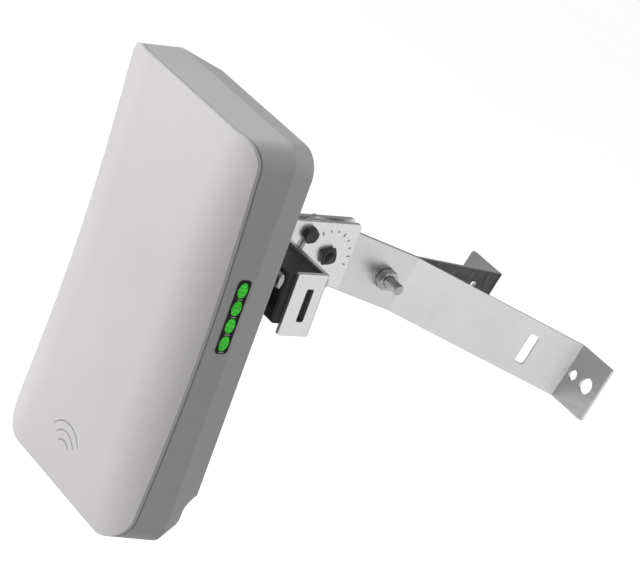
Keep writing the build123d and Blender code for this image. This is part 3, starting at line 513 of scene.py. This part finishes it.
def bar_shape(length, width, height):
    """A raised bar on the XY plane, along X, with rounded ends and a crowned top."""
    round_steps = 4
    outline = []
    for end, start_angle in ((1, -90), (-1, 90)):
        for k in range(round_steps + 1):
            angle = math.radians(start_angle + 180 * k / round_steps)
            centre = end * (length - width) / 2
            outline.append((centre + width / 2 * math.cos(angle), width / 2 * math.sin(angle)))
    shape = Rings()
    first = shape.add_ring([(x, y, -height) for x, y in outline])
    shape.add_ring([(x, y, height * 0.6) for x, y in outline])
    crown = [(x - math.copysign(width * 0.2, x), y * 0.6, height) for x, y in outline]
    last = shape.add_ring(crown)
    shape.cap(first, len(outline), False)
    shape.cap(last, len(outline), True)
    return shape.points, shape.faces


def arc_ridge(centre, radius, start, end, width, height):
    """A raised ridge along an arc on the XY plane, half round in section."""
    steps = 40
    section = [
        (-width / 2, -height), (-width / 2, height * 0.3), (-width / 4, height * 0.85), (0, height),
        (width / 4, height * 0.85), (width / 2, height * 0.3), (width / 2, -height),
    ]
    shape = Rings()
    first = None
    last = None
    for k in range(steps + 1):
        angle = math.radians(start + (end - start) * k / steps)
        ends = min(1.0, 0.35 + 4.0 * min(k, steps - k) / steps)
        ring = []
        for offset, z in section:
            reach = radius + offset * ends
            x = centre[0] + reach * math.cos(angle)
            y = centre[1] + reach * math.sin(angle)
            ring.append((x, y, z))
        last = shape.add_ring(ring)
        first = last if first is None else first
    shape.cap(first, len(section), True)
    shape.cap(last, len(section), False)
    return shape.points, shape.faces


# ---- Bolts, nuts and studs -----------------------------------------------------------------------

M8 = 0.008
M8_PITCH = 0.00125
M8_FLATS = 0.013  # across a hexagonal nut or head
M6 = 0.006
M6_PITCH = 0.001
M6_FLATS = 0.010
SQUARE_FLATS = 0.0095  # across the square heads of the block bolts
BORE_GAP = 0.00001  # how much wider a nut's bore is than its thread
LAP = 0.0005  # length of shank that runs into the bolt's head
BLOCK_FRONT = 0.082  # front face of the swivel block
PLATE_BACK = 0.070  # the lugs of the swivel foot lie behind this
# Below, the last number of an axis_place is the small turn at which that nut or head was left.


def stand_in(name, node, shape, body, slot, place):
    """A finished piece in place of a plain CAD node."""
    points, faces = shape
    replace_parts(add_piece(name, points, faces, body, slot, place=place), node)


def paired_nuts(node, name, slot, sides, flats, thread, turn, place):
    """Turned nuts in place of a CAD node that holds one plain nut on each side, facing outwards."""
    parts = []
    for side in (-1, 1):
        low, high = node_box(node, place, side)
        middle = (low + high) / 2
        inner = low.x if side > 0 else high.x
        shape = nut_shape(sides, flats, high.x - low.x, thread + BORE_GAP)
        parts.append((shape, axis_place((inner, middle.y, middle.z), (side, 0, 0), turn * side)))
    stand_in(name, node, merge_shapes(parts), "wall_bracket", slot, place)


def cross_stud(node, name, slot, diameter, pitch, place):
    """A threaded rod across the bracket in place of a plain CAD one."""
    low, high = node_box(node, place)
    middle = (low + high) / 2
    rod = thread_shape(diameter, high.x - low.x, pitch)
    start = axis_place((low.x, middle.y, middle.z), (1, 0, 0))
    stand_in(name, node, merge_shapes([(rod, start)]), "wall_bracket", slot, place)


def lock_hardware():
    """The lock bolt's head on the right, its threaded shank, and its nut on the left."""
    low, high = node_box("lock_bolt", HEAD)
    middle = (low + high) / 2
    nut_low, nut_high = node_box("lock_nut", HEAD)
    head_height = nut_high.x - nut_low.x
    head_start = high.x - head_height
    head = nut_shape(6, M6_FLATS, head_height)
    shank = thread_shape(M6, head_start - low.x + LAP, M6_PITCH)
    parts = [
        (head, axis_place((head_start, middle.y, middle.z), (1, 0, 0), 0.2)),
        (shank, axis_place((low.x, middle.y, middle.z), (1, 0, 0))),
    ]
    bolt = merge_shapes(parts)
    stand_in("lock_bolt_turned", "lock_bolt", bolt, "wall_bracket", "black_steel", HEAD)
    nut = nut_shape(6, M6_FLATS, head_height, M6 + BORE_GAP)
    place = axis_place((nut_high.x, middle.y, middle.z), (-1, 0, 0), 0.5, HEAD)
    stand_in("lock_nut_turned", "lock_nut", nut, "wall_bracket", "black_steel", place)


def block_hardware():
    """Square-headed bolts through the swivel block, and the nuts behind the web."""
    bolt_parts = []
    nut_parts = []
    for side in (-1, 1):
        low, high = node_box("block_bolts", HEAD, side)
        middle = (low + high) / 2
        head = nut_shape(4, SQUARE_FLATS, BLOCK_FRONT - low.y)
        head_place = axis_place((middle.x, BLOCK_FRONT, middle.z), (0, -1, 0), math.pi / 4)
        shank = thread_shape(M6, high.y - BLOCK_FRONT + LAP, M6_PITCH)
        shank_place = axis_place((middle.x, high.y, middle.z), (0, -1, 0))
        bolt_parts += [(head, head_place), (shank, shank_place)]
        nut_low, nut_high = node_box("block_nuts", HEAD, side)
        nut = nut_shape(6, M6_FLATS, nut_high.y - nut_low.y, M6 + BORE_GAP)
        nut_parts.append((nut, axis_place((middle.x, nut_low.y, middle.z), (0, 1, 0), 0.26 * side)))
    bolts = merge_shapes(bolt_parts)
    nuts = merge_shapes(nut_parts)
    stand_in("block_bolts_turned", "block_bolts", bolts, "yoke", "zinc_steel", HEAD)
    stand_in("block_nuts_turned", "block_nuts", nuts, "yoke", "zinc_steel", HEAD)


def lug_points():
    """Points of the swivel foot that lie on its lugs, behind its plate."""
    back = HEAD.inverted()
    points = [back @ vertex.co for vertex in frame["nodes"]["swivel_foot"].data.vertices]
    return [point for point in points if point.y > PLATE_BACK]


def swivel_hardware():
    """The upright swivel bolt with its hexagon head on top, and the nut below."""
    low, high = node_box("swivel_bolt", HEAD)
    middle = (low + high) / 2
    nut_low, nut_high = node_box("swivel_nut", HEAD)
    head_base = max(point.z for point in lug_points())
    head = nut_shape(6, M8_FLATS, high.z - head_base)
    shank = thread_shape(M8, head_base - low.z + LAP, M8_PITCH)
    parts = [
        (head, axis_place((0, middle.y, head_base), (0, 0, 1), 0.1)),
        (shank, axis_place((0, middle.y, low.z), (0, 0, 1))),
    ]
    bolt = merge_shapes(parts)
    stand_in("swivel_bolt_turned", "swivel_bolt", bolt, "radio", "black_steel", HEAD)
    nut = nut_shape(6, M8_FLATS, nut_high.z - nut_low.z, M8 + BORE_GAP)
    place = axis_place((0, middle.y, nut_high.z), (0, 0, -1), 0.3, HEAD)
    stand_in("swivel_nut_turned", "swivel_nut", nut, "radio", "black_steel", place)


paired_nuts("clamp_nuts", "clamp_nuts_turned", "zinc_steel", 6, M8_FLATS, M8, 0.3, ROW)
cross_stud("clamp_stud", "clamp_stud_threaded", "zinc_steel", M8, M8_PITCH, ROW)
paired_nuts(
    "pivot_nuts", "pivot_nuts_turned", "black_steel", 4, M6_FLATS, M6, math.pi / 4 + LEAN, HEAD)
cross_stud("pivot_stud", "pivot_stud_threaded", "black_steel", M6, M6_PITCH, HEAD)
lock_hardware()
block_hardware()
swivel_hardware()

# ---- Status lights -------------------------------------------------------------------------------

LENS_COUNT = 4
LENS_PITCH = 0.0122
LENS_SEGMENTS = 40
WINDOW_MARK = (0.0042, 0.0007, 0.0001)  # length, width and height
# The lens's dome: its share of the full width, and how far it stands out of the window
LENS_DOME = ((1.0, -0.0001), (0.96, 0.0001), (0.80, 0.0004), (0.50, 0.0006), (0.2, 0.0007))
# Draws on the right-hand side of the radio: local +X runs to the rear and +Y up
SIDE_FACING = Matrix(((0, 0, 1, 0), (1, 0, 0, 0), (0, 1, 0, 0), (0, 0, 0, 1)))


def status_lights():
    """Domed oval lenses, and a pale mark below each on the black window."""
    low, high = node_box("status_lenses", HEAD)
    window_x = node_box("status_window", HEAD)[1].x
    width = high.y - low.y
    centre_y = (low.y + high.y) / 2
    lens_height = high.z - low.z - LENS_PITCH * (LENS_COUNT - 1)
    profile = [(1.0, low.x)] + [(share, min(window_x + rise, high.x)) for share, rise in LENS_DOME]
    lenses = Rings()
    marks = []
    for k in range(LENS_COUNT):
        centre_z = low.z + lens_height / 2 + LENS_PITCH * k
        first = None
        last = None
        for share, x in profile:
            ring = []
            for i in range(LENS_SEGMENTS):
                turn = 2 * math.pi * i / LENS_SEGMENTS
                y = centre_y + width / 2 * share * math.cos(turn)
                z = centre_z + lens_height / 2 * share * math.sin(turn)
                ring.append((x, y, z))
            last = lenses.add_ring(ring, joined=first is not None)
            first = last if first is None else first
        lenses.cap(first, LENS_SEGMENTS, False)
        lenses.cap(last, LENS_SEGMENTS, True)
        mark_middle = Matrix.Translation((window_x, centre_y, centre_z - LENS_PITCH / 2))
        marks.append((bar_shape(*WINDOW_MARK), mark_middle @ SIDE_FACING))
    domes = (lenses.points, lenses.faces)
    stand_in("status_lenses_domed", "status_lenses", domes, "radio", "green_lens", HEAD)
    points, faces = merge_shapes(marks)
    add_piece("window_marks", points, faces, "radio", "black_plastic", PALE_PRINT, HEAD)


status_lights()

# ---- Marks on the front and on the yoke ----------------------------------------------------------

# Draws on the front of the radio: local +X to the right and +Y up
FRONT_FACING = Matrix(((1, 0, 0, 0), (0, 0, -1, 0), (0, 1, 0, 0), (0, 0, 0, 1)))
MARK_CENTRE = (-0.005, -0.1195)
MARK_RADII = (0.0085, 0.0145, 0.0205)
MARK_SPREAD = 52  # degrees to each side of upright
RIDGE = (0.0008, 0.00025)  # width and height
TICK_RADIUS = 0.0172
TICK_STEP = 20  # degrees
TICK_TOP = 0.0595  # no tick is higher up the cheek than this,
TICK_FRONT = 0.1135  # or further forward than this
LONG_TICK = 0.0030
SHORT_TICK = 0.0020
TICK_SECTION = (0.0008, 0.00012)  # width and height
CHEEK_X = 0.0055  # outer face of the yoke's cheek


def front_mark():
    """Three plain nested arcs, raised on the lower part of the front and painted dark grey as painted shade along
    their embossed outline.
    """
    parts = []
    for radius in MARK_RADII:
        ridge = arc_ridge(MARK_CENTRE, radius, 90 - MARK_SPREAD, 90 + MARK_SPREAD, *RIDGE)
        parts.append((ridge, FRONT_FACING))
    points, faces = merge_shapes(parts)
    add_piece("front_mark", points, faces, "radio", "cover_plastic", MARK_PAINTED_SHADE, HEAD)


front_mark()


def yoke_scale():
    """A scale of raised dark ticks round the pivot, on the outside of each cheek."""
    parts = []
    for side in (-1, 1):
        across = Matrix(((0, 0, side, 0), (1, 0, 0, 0), (0, 1, 0, 0), (0, 0, 0, 1)))
        for k in range(-1, 8):
            angle = math.radians(TICK_STEP * k)
            y = PIVOT_HEAD.y + TICK_RADIUS * math.cos(angle)
            z = PIVOT_HEAD.z + TICK_RADIUS * math.sin(angle)
            if z > TICK_TOP or y < TICK_FRONT:
                continue
            length = LONG_TICK if k % 3 == 0 else SHORT_TICK
            turned = across @ Matrix.Rotation(angle, 4, "Z")
            place = Matrix.Translation((side * CHEEK_X, y, z)) @ turned
            parts.append((bar_shape(length, *TICK_SECTION), place))
    points, faces = merge_shapes(parts)
    add_piece("yoke_scale", points, faces, "yoke", "black_steel", place=HEAD)


yoke_scale()

# ---- Studio --------------------------------------------------------------------------------------

WHITE = (1, 1, 1, 1)
FLOOR_SIZE = (60, 60)
FLOOR_GAP = 0.09  # below the object's lowest point
# How brightly the floor glows for the camera, in a reflection, and as light on the object
FLOOR_SEEN = 0.86
FLOOR_MIRRORED = 0.54
FLOOR_LIGHT = 0.06
# How bright the surroundings are for the camera, and as light on the object
WORLD_SEEN = 0.93
WORLD_LIGHT = 0.26
MIDDLE = (0.0, -0.20, -0.05)
# Each lamp's name, place, side and power. All of them face the middle of the object.
LAMPS = (
    ("key_light", (-1.4, -2.2, 0.4), 1.5, 59.0),
    ("top_light", (0.1, -0.2, 2.4), 1.6, 15.0),
    ("rear_light", (0.9, 2.3, 1.1), 1.6, 12.0),
)
# Each reflection card's name, size, place, target and strength. The two flags are dark.
CARDS = (
    ("right_card", (1.7, 2.2), (2.1, -0.25, 0.2), MIDDLE, 1.15),
    ("rear_right_card", (1.6, 2.2), (1.5, 1.5, 0.2), MIDDLE, 1.0),
    ("front_card", (1.6, 1.6), (-1.4, -1.5, 0.2), MIDDLE, 0.60),
    ("rear_flag", (0.55, 0.9), (-0.06, 0.36, -0.12), (-0.04, 0.0, 0.0), 0.0),
    ("left_flag", (0.28, 0.6), (-0.44, -0.30, -0.05), (-0.065, 0.0, 0.0), 0.02),
)


def stage_plane(name, size, location, rotation, material):
    """A flat sheet of the set. It isn't part of the object."""
    x = size[0] / 2
    y = size[1] / 2
    mesh = bpy.data.meshes.new(name)
    mesh.from_pydata([(-x, -y, 0), (x, -y, 0), (x, y, 0), (-x, y, 0)], [], [(0, 1, 2, 3)])
    mesh.materials.append(material)
    sheet = bpy.data.objects.new(name, mesh)
    sheet.location = location
    sheet.rotation_euler = rotation
    bpy.context.scene.collection.objects.link(sheet)
    return sheet


def glow_material(name, strength):
    """A plain white emitter for a reflection card."""
    material = bpy.data.materials.new(name)
    material.use_nodes = True
    nodes = material.node_tree.nodes
    nodes.clear()
    emission = nodes.new("ShaderNodeEmission")
    emission.inputs["Color"].default_value = WHITE
    emission.inputs["Strength"].default_value = strength
    output = nodes.new("ShaderNodeOutputMaterial")
    material.node_tree.links.new(emission.outputs[0], output.inputs[0])
    return material


def reflection_card(name, size, location, target, strength):
    """A card that only shows in shiny surfaces: it neither lights nor shades the object."""
    facing = (Vector(target) - Vector(location)).to_track_quat("Z", "Y").to_euler()
    card = stage_plane(name, size, location, facing, glow_material(name, strength))
    card.visible_camera = False
    card.visible_diffuse = False
    card.visible_shadow = False
    card.visible_transmission = False


def area_light(name, location, side, power):
    """A square lamp that faces the middle of the object and doesn't show in reflections."""
    data = bpy.data.lights.new(name, "AREA")
    data.size = side
    data.energy = power
    lamp = bpy.data.objects.new(name, data)
    lamp.location = location
    lamp.rotation_euler = (Vector(MIDDLE) - Vector(location)).to_track_quat("-Z", "Y").to_euler()
    lamp.visible_glossy = False
    bpy.context.scene.collection.objects.link(lamp)


def pale_floor():
    """Pale seamless floor, a little below the object, with a faint mottling."""
    shader = Shader("floor_paint")
    cloud = shader.noise(2.0, 3.0)
    tone = shader.ramp(cloud, [(0.3, 0.42), (0.7, 0.45)])
    shader.surface(tone, 0.9, specular=0.1)
    path = shader.nodes.new("ShaderNodeLightPath")
    lift = shader.nodes.new("ShaderNodeMapRange")
    lift.inputs["To Min"].default_value = FLOOR_LIGHT
    lift.inputs["To Max"].default_value = FLOOR_SEEN
    shader.link(path.outputs["Is Camera Ray"], lift.inputs["Value"])
    mirrored = shader.nodes.new("ShaderNodeMath")
    mirrored.operation = "MULTIPLY_ADD"
    shader.link(path.outputs["Is Glossy Ray"], mirrored.inputs[0])
    mirrored.inputs[1].default_value = FLOOR_MIRRORED
    shader.link(lift.outputs["Result"], mirrored.inputs[2])
    shader.link(mirrored.outputs["Value"], shader.main.inputs["Emission Strength"])
    shader.main.inputs["Emission Color"].default_value = WHITE
    floor_z = cad_bounds[0][2] - FLOOR_GAP
    stage_plane("floor", FLOOR_SIZE, (0, 0, floor_z), (0, 0, 0), shader.material)


def soft_world():
    """Even soft light, with a paler backdrop where the camera looks past the floor."""
    world = bpy.data.worlds.new("studio")
    bpy.context.scene.world = world
    world.use_nodes = True
    nodes = world.node_tree.nodes
    links = world.node_tree.links
    background = nodes["Background"]
    path = nodes.new("ShaderNodeLightPath")
    strength = nodes.new("ShaderNodeMapRange")
    strength.inputs["To Min"].default_value = WORLD_LIGHT
    strength.inputs["To Max"].default_value = WORLD_SEEN
    links.new(path.outputs["Is Camera Ray"], strength.inputs["Value"])
    links.new(strength.outputs["Result"], background.inputs["Strength"])
    background.inputs["Color"].default_value = WHITE


pale_floor()
soft_world()
for name, place, side, power in LAMPS:
    area_light(name, place, side, power)
for card in CARDS:
    reflection_card(*card)

# ---- Camera --------------------------------------------------------------------------------------

SENSOR = 36.0  # width in millimetres
IMAGE_WIDTH = 640.0
FOCAL_PIXELS = 1887.4  # focal length in pixels of that image, before the object fills the frame
ENLARGE = 1.55  # how much closer the view is drawn, so that the object fills the frame
FAR_END = 200.0
CAMERA_PLACE = Vector((1.3462, -1.4878, 0.3448))
CAMERA_RIGHT = Vector((0.5144, 0.6823, 0.5195))
CAMERA_FORWARD = Vector((-0.7062, 0.6807, -0.1947))

camera_data = bpy.data.cameras.new("camera")
camera_data.sensor_width = SENSOR
camera_data.lens = SENSOR * FOCAL_PIXELS * ENLARGE / IMAGE_WIDTH
camera_data.clip_end = FAR_END
camera = bpy.data.objects.new("camera", camera_data)
bpy.context.scene.collection.objects.link(camera)
camera_up = CAMERA_RIGHT.cross(CAMERA_FORWARD)
rotation = Matrix((CAMERA_RIGHT, camera_up, -CAMERA_FORWARD)).transposed()
facing = rotation.to_quaternion().to_matrix().to_4x4()
camera.matrix_world = Matrix.Translation(CAMERA_PLACE) @ facing
bpy.context.scene.camera = camera
bpy.context.scene.view_settings.view_transform = "Standard"
